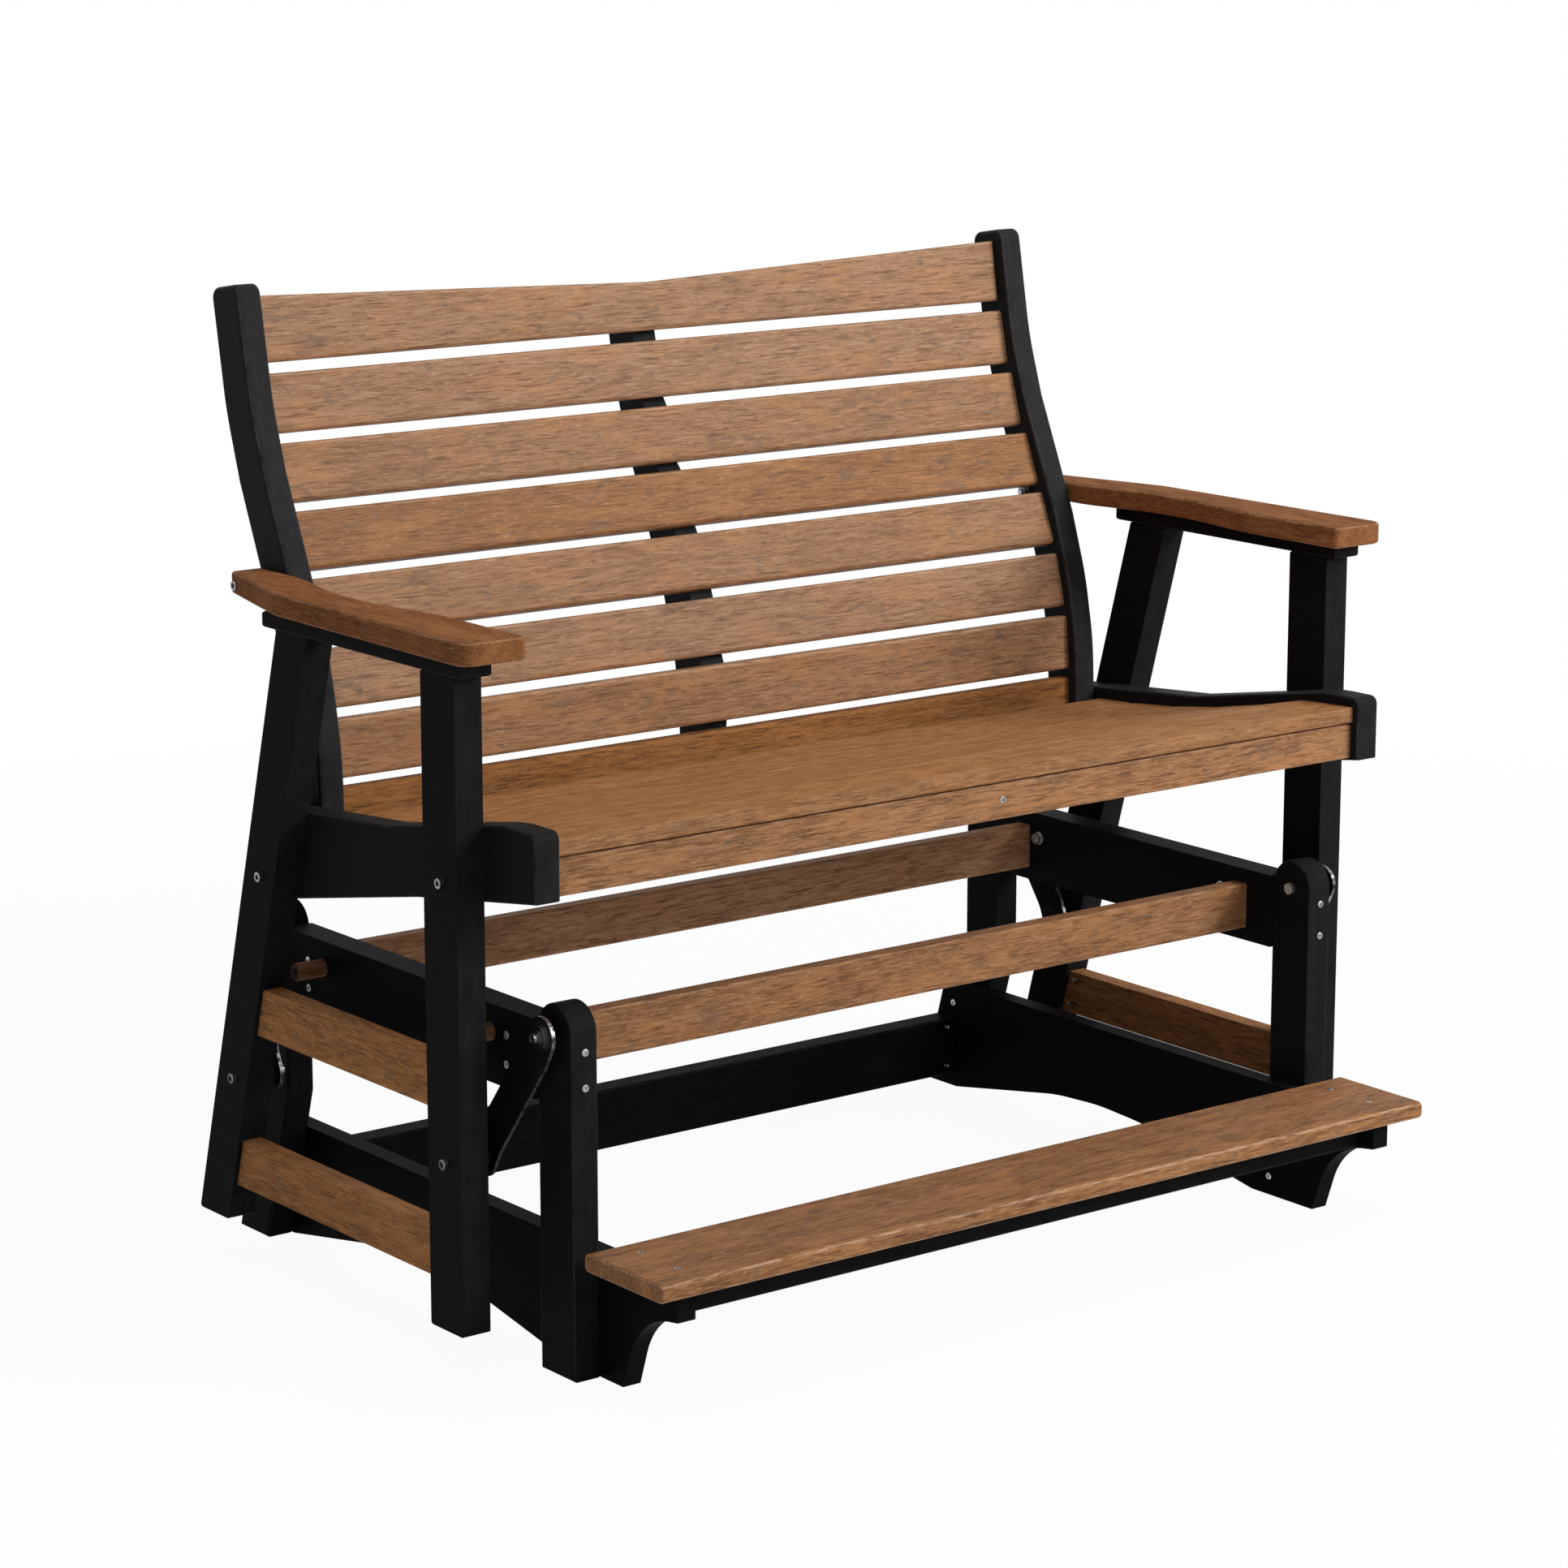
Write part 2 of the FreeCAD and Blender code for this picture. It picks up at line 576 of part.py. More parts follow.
def link(label, sign, upperY, lowerY, lowerZ, lowerRadius):
    drop = f"(upperPivotZ - {lowerZ})"
    run = f"({lowerY} - {upperY})"
    long = f"sqrt({drop} ^ 2 + {run} ^ 2)"
    bend = "linkThick * tan(atan((linkLowerX - linkUpperX) / linkBendDrop) / 2)"
    body = doc.addObject("PartDesign::Body", label)
    body.Label = label
    profile = [("linkUpperX", "linkWide / 2"), ("linkUpperX", "-linkBendTop"),
               ("linkLowerX", "-linkBendTop - linkBendDrop"), ("linkLowerX", f"-({long}) - linkWide / 2"),
               ("linkLowerX + linkThick", f"-({long}) - linkWide / 2"),
               ("linkLowerX + linkThick", f"{bend} - linkBendTop - linkBendDrop"),
               ("linkUpperX + linkThick", f"{bend} - linkBendTop"), ("linkUpperX + linkThick", "linkWide / 2")]
    sketch = outline(body, "XZ_Plane", [(f"{sign} * ({across})", up) for across, up in profile])
    pad = body.newObject("PartDesign::Pad", label + "_pad")
    pad.Profile = sketch
    pad.Midplane = True
    pad.setExpression("Length", bound("linkWide"))
    doc.recompute()
    shape = pad.Shape
    low, high = shape.BoundBox.ZMin, shape.BoundBox.ZMax
    ends = []
    for number, edge in enumerate(shape.Edges, start=1):
        along = abs(edge.Curve.Direction.x) > 0.999
        if along and min(abs(edge.Vertexes[0].Z - low), abs(edge.Vertexes[0].Z - high)) < 0.01:
            ends.append(f"Edge{number}")
    ease(body, ends, "linkWide / 2 - roundSlack")
    for number, radius in ((1, "linkUpperBend + linkThick"), (6, "linkUpperBend"), (2, "linkLowerBend"),
                           (5, "linkLowerBend + linkThick")):
        corner = sketch.Placement.multVec(sketch.getPoint(number, 1))
        ease(body, cornerEdges(body.Tip.Shape, directions["XZ_Plane"], [corner]), radius)
    for name, height, radius in (("upper", "0", "pivotBoltRadius + pivotClearance"), ("lower", f"-({long})", lowerRadius)):
        hole = body.newObject("Sketcher::SketchObject", f"{label}_{name}_hole")
        hole.AttachmentSupport = [(originPlane(body, "YZ_Plane"), "")]
        hole.MapMode = "FlatFace"
        hole.addGeometry(Part.Circle(Vector(0, -50, 0), Vector(0, 0, 1), 5), False)
        hole.addConstraint(Sketcher.Constraint("DistanceX", -1, 1, 0, 3, 0.0))
        hole.addConstraint(Sketcher.Constraint("DistanceY", -1, 1, 0, 3, -50.0))
        hole.addConstraint(Sketcher.Constraint("Radius", 0, 5.0))
        hole.setExpression("Constraints[1]", bound(height))
        hole.setExpression("Constraints[2]", bound(radius))
        pocket = body.newObject("PartDesign::Pocket", f"{label}_{name}_bore")
        pocket.Profile = hole
        pocket.Midplane = True
        pocket.setExpression("Length", bound("4 * legInnerX"))
        doc.recompute()
    place(body, 0, upperY, "upperPivotZ", f"atan({run} / {drop})")
    nodes.append(body)


for side, sign in sides:
    link(f"front_link_{side}", sign, "frontPivotY", "frontLowerPivotY", "frontLowerPivotZ",
         "pivotBoltRadius + pivotClearance")
    link(f"rear_link_{side}", sign, "rearPivotY", "rearLowerPivotY", "rearLowerPivotZ", "openPivotRadius")

doc.recompute()

# Fasteners, bushings and dowels are groups of turned solids. Each shank also leaves a hole in its boards.
holes = {}


def aim(solid, spot, direction):
    """Move a solid made along +Z so that it points along direction from spot."""
    turn = Rotation(Vector(0, 0, 1), Vector(*direction))
    moved = solid.copy()
    moved.Placement = Placement(Vector(*spot), turn)
    return moved


def ring(radius, bore, start, long):
    tube = Part.makeCylinder(radius, long, Vector(0, 0, start))
    return tube.cut(Part.makeCylinder(bore, long + 2, Vector(0, 0, start - 1)))


def hexPrism(across, start, tall):
    corner = across / math.sqrt(3)
    points = [Vector(corner * math.cos(math.radians(60 * step)), corner * math.sin(math.radians(60 * step)), start)
              for step in range(7)]
    return Part.Face(Part.makePolygon(points)).extrude(Vector(0, 0, tall))


def hexNut(across, bore, start, tall):
    return hexPrism(across, start, tall).cut(Part.makeCylinder(bore, tall + 2, Vector(0, 0, start - 1)))


def roundHead(radius, tall, crown):
    """A round head that stands on z = 0 and rises towards -Z, its outer rim eased by crown."""
    head = Part.makeCylinder(radius, tall, Vector(0, 0, -tall))
    rim = [edge for edge in head.Edges if edge.Curve.TypeId == "Part::GeomCircle" and edge.Curve.Center.z < -tall / 2]
    return head.makeFillet(crown, rim)


def screwSolid(long):
    head = roundHead(cells["screwHeadRadius"], cells["screwHeadTall"], cells["screwHeadTall"] / 2)
    wide, deep, tall = cells["driveWide"], cells["driveDeep"], cells["screwHeadTall"]
    head = head.cut(Part.makeBox(wide, wide, deep, Vector(-wide / 2, -wide / 2, -tall)))
    return head.fuse(Part.makeCylinder(cells["screwRadius"], long)).removeSplitter()


def boltSolid(radius, long, hexHead=False):
    """A bolt with a hex head, or with a round head and a hex socket."""
    tall = cells["boltHeadTall"]
    if hexHead:
        head = hexPrism(cells["hexHeadAcross"], -tall, tall)
    else:
        head = roundHead(cells["boltHeadRadius"], tall, cells["boltHeadRound"])
        head = head.cut(hexPrism(cells["socketAcross"], -tall, cells["socketDeep"]))
    return head.fuse(Part.makeCylinder(radius, long)).removeSplitter()


def drill(spot, direction, radius, long, boards):
    tool = aim(Part.makeCylinder(radius + cells["drillClearance"], long + cells["drillClearance"]), spot, direction)
    for name in boards:
        holes.setdefault(name, []).append(tool)


def screw(spot, direction, long, boards, sunk=False):
    """A screw whose head stands on spot, or is let into the first board there."""
    if sunk:
        tall = cells["screwHeadTall"]
        recess = Part.makeCylinder(cells["screwHeadRadius"] + cells["drillClearance"], 2 * tall, Vector(0, 0, -tall))
        holes.setdefault(boards[0], []).append(aim(recess, spot, direction))
        spot = Vector(*spot) + Vector(*direction) * tall
    drill(spot, direction, cells["screwRadius"], long, boards)
    return [aim(screwSolid(long), spot, direction)]


def pocketScrew(mouth, inward, along, boards):
    """A screw driven at a slant from a slot whose mouth is centred on a board's face."""
    slope = math.radians(cells["pocketSlope"])
    direction = Vector(*along) * math.cos(slope) + Vector(*inward) * math.sin(slope)
    reach = cells["pocketRadius"] / math.sin(slope)
    bottom = Vector(*mouth) + direction * cells["pocketDeep"]
    slot = Part.makeCylinder(cells["pocketRadius"], reach + cells["pocketDeep"])
    holes.setdefault(boards[0], []).append(aim(slot, Vector(*mouth) - direction * reach, direction))
    return screw(bottom, direction, cells["pocketScrewLong"], boards)


def nutAndWasher(radius, start):
    """Washer from start outwards, then the nut."""
    bore = radius + cells["drillClearance"]
    thin = cells["washerThick"]
    return [ring(cells["washerRadius"], bore, start, thin), hexNut(cells["nutAcross"], bore, start + thin, cells["nutTall"])]


def bolt(spot, direction, grip, boards, sunk=0):
    """A bolt with its head on spot, or let into the first board there, and its washer and nut where the grip ends."""
    radius = cells["boltRadius"]
    if sunk:
        recess = Part.makeCylinder(cells["boltHeadRadius"] + cells["drillClearance"], 4 * sunk, Vector(0, 0, -3 * sunk))
        holes.setdefault(boards[0], []).append(aim(recess, spot, direction))
        spot = Vector(*spot) + Vector(*direction) * sunk
        grip -= sunk
    long = grip + cells["washerThick"] + cells["nutTall"] + cells["boltTipOut"]
    drill(spot, direction, radius, grip, boards)
    return [aim(solid, spot, direction) for solid in [boltSolid(radius, long)] + nutAndWasher(radius, grip)]


def pivotBolt(spot, direction, grip, hexHead=False):
    """A pivot bolt held by a wide washer, a smaller one and a flanged round cap that stands past its tip."""
    bore = pivotRadius + cells["drillClearance"]
    thin = cells["pivotWasherThick"]
    tip = grip + 2 * thin + cells["pivotCapLong"] - cells["driveDeep"]
    cap = ring(cells["pivotCapRadius"], bore, grip + 2 * thin, cells["pivotCapLong"])
    cap = cap.fuse(ring(cells["pivotFlangeRadius"], bore, grip + 2 * thin, thin)).removeSplitter()
    washers = [ring(cells["pivotWasherRadius"], bore, grip, thin),
               ring(cells["pivotStepRadius"], bore, grip + thin, thin)]
    return [aim(solid, spot, direction) for solid in [boltSolid(pivotRadius, tip, hexHead), cap] + washers]


def group(label, solids):
    feature = doc.addObject("Part::Feature", label)
    feature.Label = label
    feature.Shape = Part.makeCompound(solids)
    nodes.append(feature)


c = cells
outerPost = c["postInnerX"] + c["postThick"]
outerLeg = c["legInnerX"] + c["legThick"]
innerSeatBoard = c["legInnerX"] - c["seatBoardThick"]
innerStile = innerSeatBoard - c["stileThick"]
postFaceX = c["postInnerX"] + c["postThick"] / 2
baseInnerX = c["postInnerX"] - c["baseBoardThick"]
pivotRadius = c["pivotBoltRadius"]
gap = c["runClearance"]
leanRate = c["rearLegLean"] / (c["legTop"] - c["rearLegFoot"])

baseScrews, baseBolts, seatScrews, frameBolts = [], [], [], []
upperSpacers, lowerSpacers, lowerBolts, dowels = [], [], [], []
sideBoardTop = c["sideBoardBottom"] + c["sideBoardTall"]
for side, sign in sides:
    inward, outward = (-sign, 0, 0), (sign, 0, 0)
    post, sidePlank, basePlank = f"_post_{side}", f"upper_side_board_{side}", f"base_board_{side}"
    # posts into the ends of the upper side boards
    for height in (c["sideBoardBottom"] + c["postScrewInset"], sideBoardTop - c["postScrewInset"]):
        front = (sign * postFaceX, c["frontPivotY"] - c["postDepth"] / 2, height)
        baseScrews += screw(front, (0, 1, 0), c["postDepth"] + c["screwBite"], ["front" + post, sidePlank])
        rear = (sign * postFaceX, c["rearPivotY"] + c["postDepth"] / 2, height)
        baseScrews += screw(rear, (0, -1, 0), c["postDepth"] + c["screwBite"], ["rear" + post, sidePlank])
    # upper side boards into the ends of the cross rails
    for name, y in (("front_cross_rail", c["frontCrossY"]), ("rear_cross_rail", c["rearCrossY"])):
        for height in (c["crossRailBottom"] + c["railScrewInset"],
                       c["crossRailBottom"] + c["crossRailTall"] - c["railScrewInset"]):
            spot = (sign * outerPost, y + c["crossRailThick"] / 2, height)
            baseScrews += screw(spot, inward, c["postThick"] + c["screwBite"], [sidePlank, name])
    # base boards into the posts, footboard onto the base boards
    for name, y, height in (("front", c["frontPivotY"] + c["frontBaseScrewBack"], c["frontBaseScrewZ"]),
                            ("rear", c["rearPivotY"] + c["rearBaseScrewBack"], c["rearBaseScrewZ"])):
        baseScrews += screw((sign * baseInnerX, y, height), outward, c["baseBoardThick"] + c["screwBite"],
                            [basePlank, name + post])
    for y in (c["footboardFrontY"] + c["footScrewFront"], c["footboardRearY"] - c["footScrewRear"]):
        spot = (sign * (c["postInnerX"] - c["footScrewInset"]), y, c["footboardSeat"] + c["footboardThick"])
        baseScrews += screw(spot, (0, 0, -1), c["footboardThick"] + c["screwBite"], ["footboard", basePlank], sunk=True)
    # slanted screws from the lower cross rail into the base boards
    for height in (c["lowerCrossBottom"] + c["railScrewInset"],
                   c["lowerCrossBottom"] + c["lowerCrossTall"] - c["railScrewInset"]):
        mouth = (sign * (baseInnerX - c["pocketBack"]), c["lowerCrossY"], height)
        baseScrews += pocketScrew(mouth, (0, 1, 0), outward, ["lower_cross_rail", basePlank])
    # stop dowels bolted through the upper side boards, the bolt heads sunk in their ends
    for y in (c["frontDowelY"], c["rearDowelY"]):
        end = (sign * (outerPost + c["dowelLong"]), y, c["dowelZ"])
        dowel = ring(c["dowelRadius"], c["boltRadius"] + c["drillClearance"], 0, c["dowelLong"])
        dowels.append(aim(dowel.cut(Part.makeCylinder(c["dowelBore"], c["dowelSunk"])), end, inward))
        spot = (sign * (outerPost + c["dowelLong"] - c["dowelSunk"]), y, c["dowelZ"])
        baseBolts += bolt(spot, inward, c["dowelLong"] - c["dowelSunk"] + c["postThick"], [sidePlank])
    # upper pivots: bolt from inside the post, thin bushing, link, washers and cap
    reach = c["linkUpperX"] + c["linkThick"] - c["postInnerX"] + gap
    for name, y in (("front", c["frontPivotY"]), ("rear", c["rearPivotY"])):
        spot = (sign * c["postInnerX"], y, c["upperPivotZ"])
        drill(spot, outward, pivotRadius, c["postThick"], [name + post])
        baseBolts += pivotBolt(spot, outward, reach, hexHead=True)
        bushing = ring(c["spacerRadius"], pivotRadius + c["drillClearance"], c["postThick"],
                       c["linkUpperX"] - outerPost - gap)
        upperSpacers.append(aim(bushing, spot, outward))
    # lower pivots: bolt from outside the leg, wide bushing, link, washers and cap
    lowerLong = c["legInnerX"] - c["linkLowerX"] - c["linkThick"] - gap
    reach = outerLeg - c["linkLowerX"] + gap
    for name, y, height in (("front", c["frontLowerPivotY"], c["frontLowerPivotZ"]),
                            ("rear", c["rearLowerPivotY"], c["rearLowerPivotZ"])):
        spot = (sign * outerLeg, y, height)
        drill(spot, inward, pivotRadius, c["legThick"], [f"{name}_leg_{side}"])
        lowerBolts += pivotBolt(spot, inward, reach)
        bushing = ring(c["bossRadius"], pivotRadius + c["drillClearance"], c["legThick"], lowerLong)
        lowerSpacers.append(aim(bushing, spot, inward))
    # legs bolted through the seat boards, the rear ones through the stiles too, and the arms through the stiles
    frameBolts += bolt((sign * outerLeg, c["legBoltY"], c["legBoltZ"]), inward, outerLeg - innerSeatBoard,
                       [f"front_leg_{side}", f"seat_board_{side}"])
    frameBolts += bolt((sign * outerLeg, c["stileBoltY"], c["stileBoltZ"]), inward, outerLeg - innerStile,
                       [f"rear_leg_{side}", f"seat_board_{side}", f"back_stile_{side}"])
    armBoltY = c["armRearY"] - c["armBoltBack"]
    taper = (c["armBendX"] - c["armTailX"]) / (c["armRearY"] - c["armBendY"])
    armBoltX = c["armBendX"] - (armBoltY - c["armBendY"] - c["boltHeadRadius"]) * taper
    armBoltZ = c["legTop"] + c["armRailThick"] + c["armThick"] / 2 - c["armBoltDrop"]
    frameBolts += bolt((sign * armBoltX, armBoltY, armBoltZ), inward, armBoltX - innerStile,
                       [f"armrest_{side}", f"back_stile_{side}"], c["armBoltSunk"])
    # slanted screws from the side rails into the legs
    railInner = c["legInnerX"] + (c["legThick"] - c["sideRailThick"]) / 2
    for name, bottom in (("upper", c["upperRailBottom"]), ("lower", c["lowerRailBottom"])):
        for height in (bottom + c["railScrewInset"], bottom + c["sideRailTall"] - c["railScrewInset"]):
            front = c["legFrontY"] + c["legDepth"] + c["pocketBack"]
            rear = c["rearLegTopY"] + (c["legTop"] - height) * leanRate - c["pocketBack"]
            for y, along, leg in ((front, -1, "front"), (rear, 1, "rear")):
                seatScrews += pocketScrew((sign * railInner, y, height), outward, (0, along, 0),
                                          [f"{name}_side_rail_{side}", f"{leg}_leg_{side}"])
    # arms screwed from under their rails, stiles screwed to the seat boards
    for y in (-c["armScrewY"], c["armScrewY"]):
        seatScrews += screw((sign * (c["legInnerX"] + c["legThick"] / 2), y, c["legTop"]), (0, 0, 1),
                            c["armRailThick"] + c["armScrewBite"], [f"arm_rail_{side}", f"armrest_{side}"])
    for height in (c["stileScrewLow"], c["stileScrewHigh"]):
        seatScrews += screw((sign * innerStile, c["backY8"] + c["stileScrewBack"], height), outward,
                            c["stileThick"] + c["screwBite"], [f"back_stile_{side}", f"seat_board_{side}"])
seatScrews += screw((c["midCleatX"], c["apronFrontY"], c["seatZ0"] - c["apronScrewDrop"]), (0, 1, 0),
                    c["apronThick"] + c["screwBite"], ["seat_apron", "seat_cleat_centre"], sunk=True)

group("stop_dowels", dowels)
group("base_screws", baseScrews)
group("base_bolts", baseBolts)
group("upper_pivot_bushings", upperSpacers)
group("lower_pivot_bushings", lowerSpacers)
group("lower_pivot_bolts", lowerBolts)
group("frame_bolts", frameBolts)
group("seat_screws", seatScrews)

for index, blank in enumerate(list(nodes)):
    name = blank.Label
    if name not in holes:
        continue
    blank.Label = name + "_blank"
    tool = doc.addObject("Part::Feature", name + "_drills")
    tool.Shape = Part.makeCompound(holes[name])
    drilled = doc.addObject("Part::Cut", name + "_drilled")
    drilled.Base = blank
    drilled.Tool = tool
    drilled.Label = name
    nodes[index] = drilled

doc.recompute()


def checked():
    failed = [thing.Label for thing in doc.Objects if "Invalid" in thing.State or "Error" in thing.State]
    if failed:
        raise RuntimeError(f"failed: {failed}")
    for node in nodes:
        if node.Shape.isNull() or not node.Shape.isValid():
            raise RuntimeError(f"{node.Label} has no valid shape")


checked()
os.makedirs("parts", exist_ok=True)
for node in nodes:
    node.Shape.exportStep(f"parts/{node.Label}.step")
    box = node.Shape.BoundBox
    print(f"{node.Label}: solids {len(node.Shape.Solids)} x {box.XMin:.1f} {box.XMax:.1f} y {box.YMin:.1f} {box.YMax:.1f}"
          f" z {box.ZMin:.1f} {box.ZMax:.1f}")
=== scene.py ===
import bpy
import math
import numpy as np
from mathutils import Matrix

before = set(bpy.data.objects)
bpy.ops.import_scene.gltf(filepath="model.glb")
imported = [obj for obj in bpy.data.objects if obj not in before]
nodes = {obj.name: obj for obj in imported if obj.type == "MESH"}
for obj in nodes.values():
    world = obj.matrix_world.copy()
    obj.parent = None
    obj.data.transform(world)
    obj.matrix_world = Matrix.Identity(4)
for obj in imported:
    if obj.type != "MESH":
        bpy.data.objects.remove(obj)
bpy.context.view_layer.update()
print("frame loaded:", len(nodes), "nodes")


class Wire:
    # wraps a number socket, so that shader maths reads as plain expressions
    def __init__(self, maker, socket):
        self.maker = maker
        self.socket = socket

    def math(self, operation, *values):
        return self.maker.node("ShaderNodeMath", {"operation": operation}, dict(enumerate(values)))

    def __add__(self, other):
        return self.math("ADD", self, other)

    def __sub__(self, other):
        return self.math("SUBTRACT", self, other)

    def __mul__(self, other):
        return self.math("MULTIPLY", self, other)

    def __rsub__(self, other):
        return self.math("SUBTRACT", other, self)

    def __abs__(self):
        return self.math("ABSOLUTE", self)

    __radd__ = __add__
    __rmul__ = __mul__

    def smooth(self, low, high):
        # 0 below low, 1 above high, eased between
        return self.maker.node("ShaderNodeMapRange", {"interpolation_type": "SMOOTHSTEP"},
                               {"Value": self, "From Min": low, "From Max": high})


class Finish:
    # one material and the nodes in it
    def __init__(self, name):
        self.material = bpy.data.materials.new(name)
        self.material.use_nodes = True
        self.tree = self.material.node_tree
        self.shader = self.tree.nodes["Principled BSDF"]

    def feed(self, socket, value):
        if isinstance(value, Wire):
            self.tree.links.new(value.socket, socket)
        else:
            socket.default_value = value

    def node(self, kind, settings=None, inputs=None, out=0):
        made = self.tree.nodes.new(kind)
        for key, value in (settings or {}).items():
            setattr(made, key, value)
        for key, value in (inputs or {}).items():
            self.feed(made.inputs[key], value)
        return Wire(self, made.outputs[out])

    def mix(self, amount, first, second):
        # colour mix: sockets 0, 6 and 7 are factor, A and B
        return self.node("ShaderNodeMix", {"data_type": "RGBA", "clamp_factor": True},
                         {0: amount, 6: first, 7: second}, out=2)

    def where(self):
        return self.node("ShaderNodeTexCoord", out="Object")

    def noise(self, scale, shift=(0, 0, 0), detail=3, rough=0.55, warp=0):
        # scale counts the waves in a metre along each axis
        place = self.node("ShaderNodeMapping", {}, {"Vector": self.where(), "Scale": scale, "Location": shift})
        return self.node("ShaderNodeTexNoise", {"noise_dimensions": "3D"},
                         {"Vector": place, "Scale": 1, "Detail": detail, "Roughness": rough, "Distortion": warp})

    def even(self, scale, detail=3):
        # the same noise in every direction
        return self.noise((scale, scale, scale), detail=detail)

    def along(self, vector, axis):
        # how far a vector reaches along one axis, without its sign
        return abs(self.node("ShaderNodeSeparateXYZ", {}, {0: vector}, out="XYZ"[axis]))

    def facing(self, axis):
        # how squarely the surface faces along one axis, 0 to 1
        return self.along(self.node("ShaderNodeNewGeometry", out="Normal"), axis)

    def bump(self, height, strength, distance):
        return self.node("ShaderNodeBump", {}, {"Height": height, "Strength": strength, "Distance": distance})

    def set(self, **values):
        for key, value in values.items():
            self.feed(self.shader.inputs[key.replace("_", " ")], value)


def rgb(red, green, blue):
    return (red, green, blue, 1)


def drawnLayers(finish, table, axis, shift=(0, 0, 0)):
    # the noise layers of a board, drawn out along one axis
    made = {}
    for key, (longWay, across, detail, rough, warp, move) in table.items():
        scale = [longWay if way == axis else across for way in range(3)]
        made[key] = finish.noise(scale, [part + move for part in shift], detail, rough, warp)
    return made


def blended(layers, shares):
    # the layers added up by their shares
    return sum(layers[key] * share for key, share in shares.items())


lengthways = 0
deep = 1
upright = 2
sides = ("left", "right")

# brown lumber: one dictionary for the stock, and a short one for each group of boards
brown = {
    "smudge": rgb(0.132, 0.097, 0.077),
    "line": rgb(0.085, 0.040, 0.020),
    "speck": rgb(0.62, 0.44, 0.31),
    "orange": rgb(0.50, 0.225, 0.082),
    # waves per metre along the board and across it, detail, roughness, warp, offset
    "layers": {
        "hair": (90, 860, 2, 0.50, 0, 0),
        "fine": (38, 430, 3, 0.60, 0.2, 0),
        "streak": (21, 270, 4, 0.60, 0.3, 0),
        "band": (4, 42, 4, 0.55, 0.6, 0),
        "worn": (30, 90, 4, 0.75, 0, 8),
        "cloud": (17, 48, 5, 0.65, 1.1, 0),
        "patch": (8, 24, 3, 0.55, 0.6, 3),
        "stroke": (24, 420, 3, 0.55, 0.3, 5),
    },
    "grain": {"hair": 0.20, "fine": 0.34, "streak": 0.30, "band": 0.16},
    "calmGrain": {"worn": 0.9, "band": 0.2},
    "calmDrop": 0.05,
    "relief": {"hair": 0.4, "fine": 0.5, "stroke": -0.5},
    "reliefStrength": 0.4,
    "reliefDepth": 0.0007,
    # where each mask begins and where it is full
    "topMask": (0.78, 0.97),
    "patchMask": (0.47, 0.68),
    "cloudMask": (0.56, 0.66),
    "brokenMask": (0.36, 0.60),
    "strokeMask": (0.56, 0.64),
    "fleckMask": (0.64, 0.74),
    # these three masks shape a painted highlight on the upward rounded edges, broken up like rubbed wear
    "rimBegins": (0.40, 0.62),
    "rimEnds": (0.72, 0.92),
    "rubAndHighlightMask": (0.35, 0.60),
    "middle": 0.5,
    "spread": 0.135,
    "unbroken": 0.5,
    "topLines": 0.3,
    "roughSpread": 0.16,
}
# rim: how strongly each group shows the painted highlight on its upward rounded edges
backBoards = {"pale": rgb(0.436, 0.248, 0.141), "deep": rgb(0.236, 0.120, 0.062), "warm": 0.32, "smudges": 0.58,
              "lines": 0.55, "flecks": 0.5, "contrast": 1.12, "calm": 0, "rim": 0.34, "rough": 0.50, "gloss": 0.11}
seatBoards = {"pale": rgb(0.412, 0.194, 0.076), "deep": rgb(0.236, 0.102, 0.035), "warm": 0.20, "smudges": 0.24,
              "lines": 0.50, "flecks": 0.3, "contrast": 0.9, "calm": 1, "rim": 0, "rough": 0.62, "gloss": 0.05,
              "sidePale": rgb(0.400, 0.205, 0.096), "sideDeep": rgb(0.170, 0.076, 0.031)}
railBoards = {"pale": rgb(0.408, 0.205, 0.096), "deep": rgb(0.186, 0.083, 0.034), "warm": 0.34, "smudges": 0.52,
              "lines": 0.60, "flecks": 0.5, "contrast": 1.2, "calm": 0, "rim": 0.34, "rough": 0.56, "gloss": 0.08}
armBoards = {"pale": rgb(0.294, 0.118, 0.045), "deep": rgb(0.149, 0.055, 0.020), "warm": 0.20, "smudges": 0.34,
             "lines": 0.60, "flecks": 0.4, "contrast": 1.1, "calm": 0.5, "rim": 0.34, "rough": 0.66, "gloss": 0.018}


def tinted(board, red, green, blue, **changes):
    # the same stock with its colours scaled: another batch, and for two groups painted shade and painted light
    tint = (red, green, blue)
    shades = {key: rgb(*(part * share for part, share in zip(board[key], tint))) for key in ("pale", "deep")}
    return {**board, **shades, **changes}


